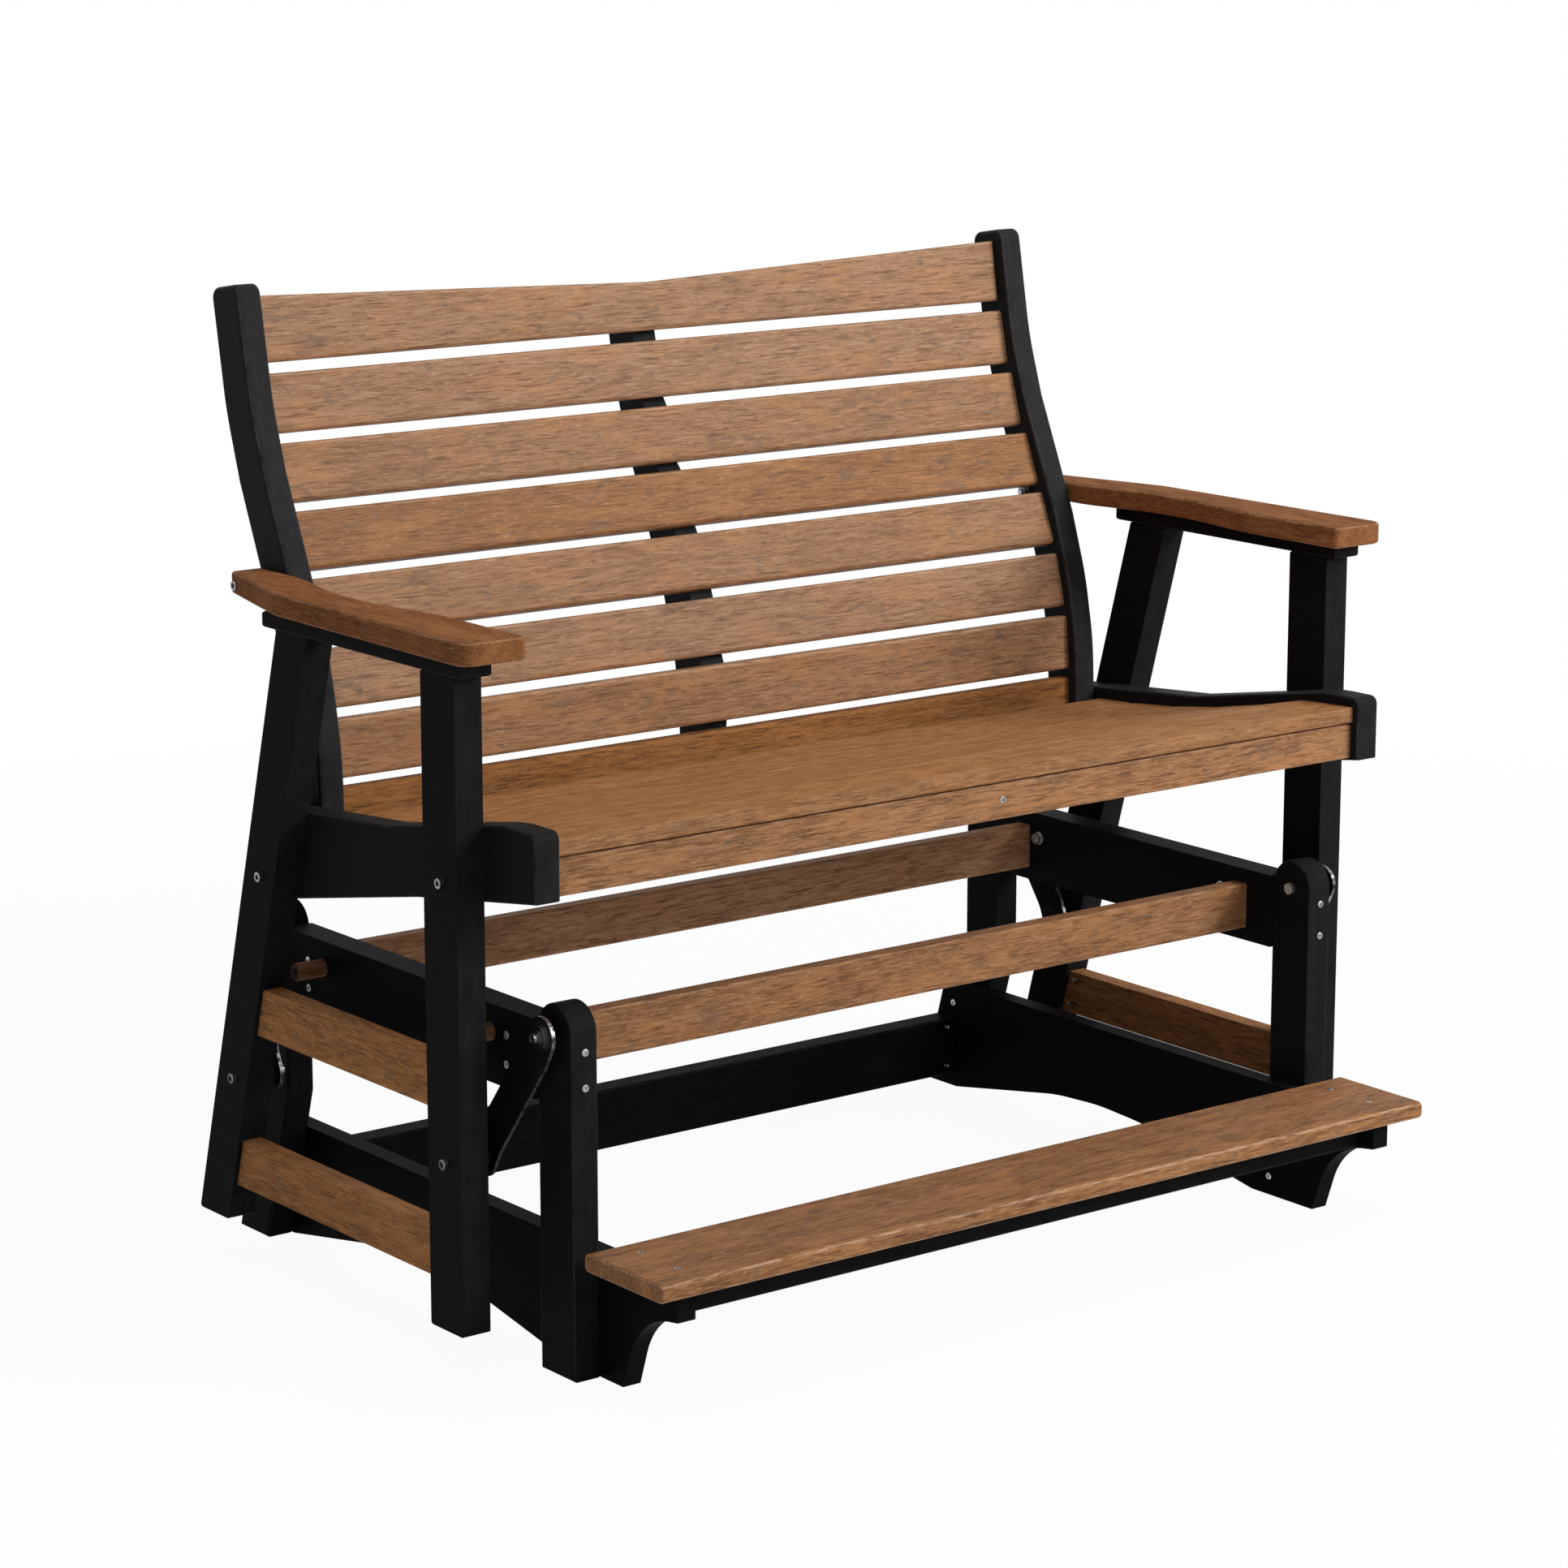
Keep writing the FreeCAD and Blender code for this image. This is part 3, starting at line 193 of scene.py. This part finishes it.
def brownLumber(name, axis, board, shift=(0, 0, 0)):
    # wood-grained lumber: short streaks drawn out along one axis, grey smudges, warm patches, dark lines, light specks,
    # calmer on the upward faces of the seat, a painted highlight on the upward rounded edges, broken up like rubbed
    # wear
    finish = Finish(name)
    layers = drawnLayers(finish, brown["layers"], axis, shift)
    fine = layers["fine"]
    up = finish.facing(upright)
    top = up.smooth(*brown["topMask"]) * board["calm"]
    pale, dark = board["pale"], board["deep"]
    if "sidePale" in board:
        pale = finish.mix(top, board["sidePale"], pale)
        dark = finish.mix(top, board["sideDeep"], dark)

    grain = blended(layers, brown["grain"]) * (1 - top)
    grain = grain + (blended(layers, brown["calmGrain"]) - brown["calmDrop"]) * top
    spread = brown["spread"] / board["contrast"]
    colour = finish.mix(grain.smooth(brown["middle"] - spread, brown["middle"] + spread), dark, pale)

    warmth = layers["patch"].smooth(*brown["patchMask"]) * board["warm"]
    colour = finish.mix(warmth, colour, brown["orange"])
    broken = fine.smooth(*brown["brokenMask"]) * (1 - brown["unbroken"]) + brown["unbroken"]
    smudge = layers["cloud"].smooth(*brown["cloudMask"]) * broken * board["smudges"]
    colour = finish.mix(smudge, colour, brown["smudge"])
    line = layers["stroke"].smooth(*brown["strokeMask"]) * board["lines"] * (1 - top * (1 - brown["topLines"]))
    colour = finish.mix(line, colour, brown["line"])
    colour = finish.mix(layers["hair"].smooth(*brown["fleckMask"]) * board["flecks"], colour, brown["speck"])
    # painted highlight: the rounded edges that turn upwards are mixed paler, broken up by noise like rubbed wear
    rim = up.smooth(*brown["rimBegins"]) * (1 - up.smooth(*brown["rimEnds"]))
    colour = finish.mix(rim * fine.smooth(*brown["rubAndHighlightMask"]) * board["rim"], colour, brown["speck"])

    roughness = fine * brown["roughSpread"] + (board["rough"] - brown["roughSpread"] / 2)
    relief = finish.bump(blended(layers, brown["relief"]), brown["reliefStrength"], brown["reliefDepth"])
    finish.set(Base_Color=colour, Roughness=roughness, Specular_IOR_Level=board["gloss"], Normal=relief)
    return finish.material


black = {
    "colour": 0.0115,
    "worn": 0.0172,
    "speck": 0.0080,
    "rim": 0.042,
    "blueCast": 1.03,
    "rough": 0.32,
    "gloss": 0.0085,
    # waves per metre along the board and across it, detail, roughness, warp, offset
    "layers": {
        "drawn": (9, 120, 4, 0.60, 0, 0),
        "mottle": (34, 34, 5, 0.65, 0, 0),
        "speck": (520, 520, 2, 0.55, 0, 0),
    },
    "wear": {"mottle": 0.55, "drawn": 0.45},
    "roughening": {"mottle": 0.2, "drawn": 0.1},
    "relief": {"speck": 0.6, "drawn": 0.4, "mottle": 0.6},
    "reliefStrength": 0.35,
    "reliefDepth": 0.0006,
    # where each mask begins and where it is full, and how much of it is used
    "wearMask": (0.35, 0.68),
    # painted shade on the faces across the board: how much pale mottle they lose, then where and how strongly they
    # darken
    "sideWear": 0.5,
    "speckMask": (0.58, 0.70),
    "speckShare": 0.5,
    "sideMask": (0.92, 1.0),
    "sideShare": 0.7,
    # painted highlight on the edges along the board, broken up like rubbed wear
    "rimBegins": (0.30, 0.55),
    "rimEnds": (0.70, 0.90),
    "rubAndHighlightMask": (0.30, 0.60),
    "rubAndHighlightShare": 0.6,
}


def blackLumber(name, axis, gloss=black["gloss"], lightAndShade=1):
    # charcoal lumber: faint mottling and drawn lines along the board, dull satin skin, a painted highlight on the edges
    # along it, broken up like rubbed wear, the faces across the board (along x; along z on lengthways boards) painted
    # darker as shade
    finish = Finish(name)
    # the last argument scales every shade of the black, so one stock gives lit and shaded copies: painted light and
    # shade
    shades = [black[key] * lightAndShade for key in ("colour", "worn", "speck", "rim")]
    colour, worn, speckAndSideShade, edge = (rgb(shade, shade, shade * black["blueCast"]) for shade in shades)
    layers = drawnLayers(finish, black["layers"], axis)
    sideways = finish.facing(lengthways if axis != lengthways else upright)

    # painted shade: the faces across the board lose pale mottle and take the dark speck colour
    wear = blended(layers, black["wear"]).smooth(*black["wearMask"]) * (1 - sideways * black["sideWear"])
    colour = finish.mix(wear, colour, worn)
    colour = finish.mix(layers["speck"].smooth(*black["speckMask"]) * black["speckShare"], colour, speckAndSideShade)
    colour = finish.mix(sideways.smooth(*black["sideMask"]) * black["sideShare"], colour, speckAndSideShade)
    # painted highlight: the rounded edges along the board are mixed paler, broken up by the mottle like rubbed wear
    rim = sideways.smooth(*black["rimBegins"]) * (1 - sideways.smooth(*black["rimEnds"]))
    rub = layers["mottle"].smooth(*black["rubAndHighlightMask"]) * black["rubAndHighlightShare"]
    colour = finish.mix(rim * rub, colour, edge)

    relief = finish.bump(blended(layers, black["relief"]), black["reliefStrength"], black["reliefDepth"])
    finish.set(Base_Color=colour, Roughness=blended(layers, black["roughening"]) + black["rough"],
               Specular_IOR_Level=gloss, Normal=relief)
    return finish.material


machined = {
    "brush": 600,
    "stain": 160,
    "stainMask": (0.40, 0.65),
    "roughSpread": 0.2,
    "reliefStrength": 0.1,
    "reliefDepth": 0.0002,
}
screwSteel = {"pale": rgb(0.46, 0.45, 0.44), "dull": rgb(0.27, 0.265, 0.26), "rough": 0.22}
boltSteel = {"pale": rgb(0.34, 0.34, 0.34), "dull": rgb(0.18, 0.18, 0.182), "rough": 0.20}


def stainless(name, steel):
    # machined steel with a little staining
    finish = Finish(name)
    brush = finish.even(machined["brush"])
    stain = finish.even(machined["stain"]).smooth(*machined["stainMask"])
    finish.set(Base_Color=finish.mix(stain, steel["pale"], steel["dull"]), Metallic=1,
               Roughness=brush * machined["roughSpread"] + steel["rough"],
               Normal=finish.bump(brush, machined["reliefStrength"], machined["reliefDepth"]))
    return finish.material


links = {
    "coat": 140,
    "coatDetail": 5,
    "scuff": (30, 220, 60),
    "scuffDetail": 5,
    "scuffRough": 0.7,
    "scuffMask": (0.66, 0.76),
    "scuffShare": 0.5,
    "edgeMask": (0.70, 0.97),
    "edgeWear": (0.34, 0.60),
    "black": rgb(0.005, 0.005, 0.0052),
    "grey": rgb(0.04, 0.04, 0.04),
    "bright": rgb(0.30, 0.30, 0.305),
    "rough": 0.24,
    "roughSpread": 0.15,
    "gloss": 0.12,
    "reliefStrength": 0.12,
    "reliefDepth": 0.0003,
}


def linkSteel(name):
    # black coated flat steel, the narrow cut edges rubbed bright
    finish = Finish(name)
    coat = finish.even(links["coat"], detail=links["coatDetail"])
    scuff = finish.noise(links["scuff"], detail=links["scuffDetail"], rough=links["scuffRough"])
    edge = (1 - finish.facing(lengthways)).smooth(*links["edgeMask"]) * coat.smooth(*links["edgeWear"])
    flat = finish.mix(scuff.smooth(*links["scuffMask"]) * links["scuffShare"], links["black"], links["grey"])
    finish.set(Base_Color=finish.mix(edge, flat, links["bright"]), Metallic=edge,
               Roughness=coat * links["roughSpread"] + links["rough"], Specular_IOR_Level=links["gloss"],
               Normal=finish.bump(coat, links["reliefStrength"], links["reliefDepth"]))
    return finish.material


pivots = {
    "stain": 160,
    "stainMask": (0.40, 0.65),
    "outsideFrom": (0.575, 0.600),  # metres from the middle, past the posts
    "faceMask": (0.80, 0.97),
    "pale": rgb(0.46, 0.45, 0.44),
    "dull": rgb(0.30, 0.295, 0.29),
    "dark": rgb(0.045, 0.045, 0.046),
    "rough": 0.24,
    "roughSpread": 0.15,
    "insideRough": 0.14,
    "reliefStrength": 0.08,
    "reliefDepth": 0.0002,
}


def pivotSteel(name):
    # dark faced washers and caps with bright rims outside the posts, plain bright heads inside them
    finish = Finish(name)
    stain = finish.even(pivots["stain"])
    outside = finish.along(finish.where(), lengthways).smooth(*pivots["outsideFrom"])
    face = finish.facing(lengthways).smooth(*pivots["faceMask"]) * outside
    metal = finish.mix(stain.smooth(*pivots["stainMask"]), pivots["pale"], pivots["dull"])
    roughness = stain * pivots["roughSpread"] + (1 - outside) * pivots["insideRough"] + pivots["rough"]
    finish.set(Base_Color=finish.mix(face, metal, pivots["dark"]), Metallic=1, Roughness=roughness,
               Normal=finish.bump(stain, pivots["reliefStrength"], pivots["reliefDepth"]))
    return finish.material


bushing = {
    "rub": 90,
    "rubDetail": 4,
    "black": rgb(0.005, 0.005, 0.005),
    "grey": rgb(0.011, 0.011, 0.0115),
    "rough": 0.35,
    "roughSpread": 0.2,
    "gloss": 0.12,
    "reliefStrength": 0.1,
    "reliefDepth": 0.0003,
}


def nylon(name):
    finish = Finish(name)
    rub = finish.even(bushing["rub"], detail=bushing["rubDetail"])
    finish.set(Base_Color=finish.mix(rub, bushing["black"], bushing["grey"]),
               Roughness=rub * bushing["roughSpread"] + bushing["rough"], Specular_IOR_Level=bushing["gloss"],
               Normal=finish.bump(rub, bushing["reliefStrength"], bushing["reliefDepth"]))
    return finish.material


def dress(material, names):
    for name in names:
        mesh = nodes[name].data
        mesh.materials.clear()
        mesh.materials.append(material)


def bothSides(*pieces):
    return [f"{piece}_{side}" for piece in pieces for side in sides]


def backSlats(*rows):
    return [f"back_slat_{row}" for row in rows]


# the boards' batches differ a little, as in the photograph; the lowest back slat is tinted darker as painted shade, the
# rear rail paler as painted light
tanBoards = tinted(backBoards, 0.93, 0.88, 0.80)
warmBoards = tinted(backBoards, 0.83, 0.69, 0.49)
duskBoards = tinted(backBoards, 0.96, 0.92, 0.84, warm=0.30)
# painted shade: the lowest back slat, down by the seat, is tinted darker than the seat stock
shadedLowBoards = tinted(seatBoards, 0.85, 0.80, 0.71, calm=0, flecks=0.2, contrast=1.4, lines=0.7, rough=0.66, gloss=0.03)
shadedLowBoards = {key: value for key, value in shadedLowBoards.items() if not key.startswith("side")}
footBoards = tinted(railBoards, 0.90, 0.86, 0.80, smudges=0.62, lines=0.75, rim=0.5, contrast=1.35)
# painted light: the rear rail's colours are scaled much paler and bluer than the other rails
litRearBoards = tinted(railBoards, 1.54, 1.76, 2.06)
sideBoards = tinted(railBoards, 1.18, 1.08, 0.84, rough=0.60, gloss=0.05)

dress(brownLumber("brown lumber, back slats", lengthways, backBoards), backSlats(1, 2, 6))
dress(brownLumber("brown lumber, tan back slats", lengthways, tanBoards, shift=(2, 3, 1)), backSlats(3, 5))
dress(brownLumber("brown lumber, warm back slat", lengthways, warmBoards, shift=(1, 6, 2)), backSlats(4))
dress(brownLumber("brown lumber, seventh back slat", lengthways, duskBoards, shift=(4, 2, 5)), backSlats(7))
dress(brownLumber("brown lumber, lowest back slat, painted shade", lengthways, shadedLowBoards, shift=(5, 0, 3)), backSlats(8))
dress(brownLumber("brown lumber, seat slats", lengthways, seatBoards, shift=(7, 0, 0)),
      [f"seat_slat_{row}" for row in range(1, 7)])
dress(brownLumber("brown lumber, rails", lengthways, railBoards, shift=(3, 2, 0)),
      ["seat_apron", "front_cross_rail", "stop_dowels"])
dress(brownLumber("brown lumber, footboard", lengthways, footBoards, shift=(9, 5, 2)), ["footboard"])
dress(brownLumber("brown lumber, rear rail, painted light", lengthways, litRearBoards, shift=(6, 1, 4)), ["rear_cross_rail"])
dress(brownLumber("brown lumber, arms", deep, armBoards, shift=(0, 4, 0)), bothSides("armrest"))
dress(brownLumber("brown lumber, side rails", deep, sideBoards, shift=(2, 1, 0)),
      bothSides("upper_side_rail", "lower_side_rail"))
dress(blackLumber("black lumber, upright", upright), bothSides("front_leg", "rear_leg", "front_post", "rear_post"))
dress(blackLumber("black lumber, front to back", deep),
      bothSides("arm_rail", "upper_side_board", "seat_cleat") + ["seat_cleat_centre"])
# lit and shaded copies of the one black stock, painted light and shade: lengthways rails and base boards darker, seat
# boards and stiles lighter
dress(blackLumber("black lumber, lengthways", lengthways, lightAndShade=0.75), ["lower_cross_rail", "footboard_cleat"])
dress(blackLumber("black lumber, base boards", deep, lightAndShade=0.5), bothSides("base_board"))
dress(blackLumber("black lumber, seat boards", deep, lightAndShade=1.3), bothSides("seat_board"))
dress(blackLumber("black lumber, stiles", upright, gloss=0.018, lightAndShade=1.75),
      bothSides("back_stile") + ["back_stile_centre"])
dress(stainless("screw steel", screwSteel), ["base_screws", "seat_screws"])
dress(stainless("bolt steel", boltSteel), ["frame_bolts"])
dress(pivotSteel("pivot steel"), ["base_bolts", "lower_pivot_bolts"])
dress(linkSteel("link steel"), bothSides("front_link", "rear_link"))
dress(nylon("bushing nylon"), ["upper_pivot_bushings", "lower_pivot_bushings"])
print("finishes on", len(nodes), "nodes")


studio = {
    "aim": (0, 0, 0.6),
    "keyWatts": 230,
    "keyPlace": (2.8, -3.9, 3.2),
    "keyWide": 2.4,
    "topWatts": 42,
    "topPlace": (-0.6, -0.6, 4.2),
    "topWide": 3.0,
    "ambient": 0.26,
    "floorHalf": 30,
    "floorColour": rgb(0.88, 0.88, 0.88),
    "floorRough": 0.9,
    # the floor's white is a little thinner near the bench, where its shadow lies
    "nearShare": 0.95,
    "nearRound": 1.5,
    "farRound": 4.0,
}
white = rgb(1, 1, 1)


def pointAt(thing, target):
    direction = np.array(target, float) - np.array(thing.location, float)
    flat = math.hypot(direction[0], direction[1])
    thing.rotation_euler = (math.atan2(flat, -direction[2]), 0, math.atan2(direction[1], direction[0]) - math.pi / 2)


def lamp(name):
    data = bpy.data.lights.new(name, "AREA")
    data.energy = studio[name + "Watts"]
    data.shape = "DISK"
    data.size = studio[name + "Wide"]
    made = bpy.data.objects.new(name, data)
    bpy.context.scene.collection.objects.link(made)
    made.location = studio[name + "Place"]
    pointAt(made, studio["aim"])


def seenDirectly(maker):
    # 1 for rays from the camera, from a mirror or through glass, 0 for the rays that light the object
    rays = maker.tree.nodes.new("ShaderNodeLightPath").outputs
    camera, glossy, clear = (Wire(maker, rays[f"Is {kind} Ray"]) for kind in ("Camera", "Glossy", "Transmission"))
    seen = camera + glossy + clear
    return seen.math("MINIMUM", seen, 1)


class Sky(Finish):
    # the same node helpers on the world's tree
    def __init__(self, world):
        self.tree = world.node_tree
        self.shader = self.tree.nodes["Background"]


lamp("key")
lamp("top")

# world: white where it is seen, softer as light
world = bpy.data.worlds.new("studio")
bpy.context.scene.world = world
world.use_nodes = True
sky = Sky(world)
sky.set(Color=white, Strength=seenDirectly(sky) * (1 - studio["ambient"]) + studio["ambient"])

# floor: white, keeps the shadow near the bench
half = studio["floorHalf"]
floorMesh = bpy.data.meshes.new("floor")
floorMesh.from_pydata([(-half, -half, 0), (half, -half, 0), (half, half, 0), (-half, half, 0)], [], [(0, 1, 2, 3)])
floor = bpy.data.objects.new("floor", floorMesh)
bpy.context.scene.collection.objects.link(floor)
floorFinish = Finish("white floor")
floorFinish.set(Base_Color=studio["floorColour"], Roughness=studio["floorRough"], Specular_IOR_Level=0)
away = floorFinish.node("ShaderNodeVectorMath", {"operation": "LENGTH"}, {0: floorFinish.where()}, out="Value")
near = studio["nearShare"]
share = away.smooth(studio["nearRound"], studio["farRound"]) * (1 - near) + near
lit = Wire(floorFinish, floorFinish.shader.outputs[0])
glow = floorFinish.node("ShaderNodeEmission")
blend = floorFinish.node("ShaderNodeMixShader", {}, {0: seenDirectly(floorFinish) * share, 1: lit, 2: glow})
floorFinish.feed(floorFinish.tree.nodes["Material Output"].inputs["Surface"], blend)
floorMesh.materials.append(floorFinish.material)

# the photograph's viewing angle: a long lens from the front left, a little above
view = {"place": (-3.4491, -4.3870, 1.8070), "turn": 37.57, "down": 12.284, "lens": 102.08, "sensor": 36}
cameraData = bpy.data.cameras.new("camera")
cameraData.lens = view["lens"]
cameraData.sensor_width = view["sensor"]
camera = bpy.data.objects.new("camera", cameraData)
bpy.context.scene.collection.objects.link(camera)
camera.location = view["place"]
camera.rotation_euler = (math.radians(90 - view["down"]), 0, math.radians(-view["turn"]))
bpy.context.scene.camera = camera
bpy.context.scene.view_settings.view_transform = "Standard"
print("studio ready")
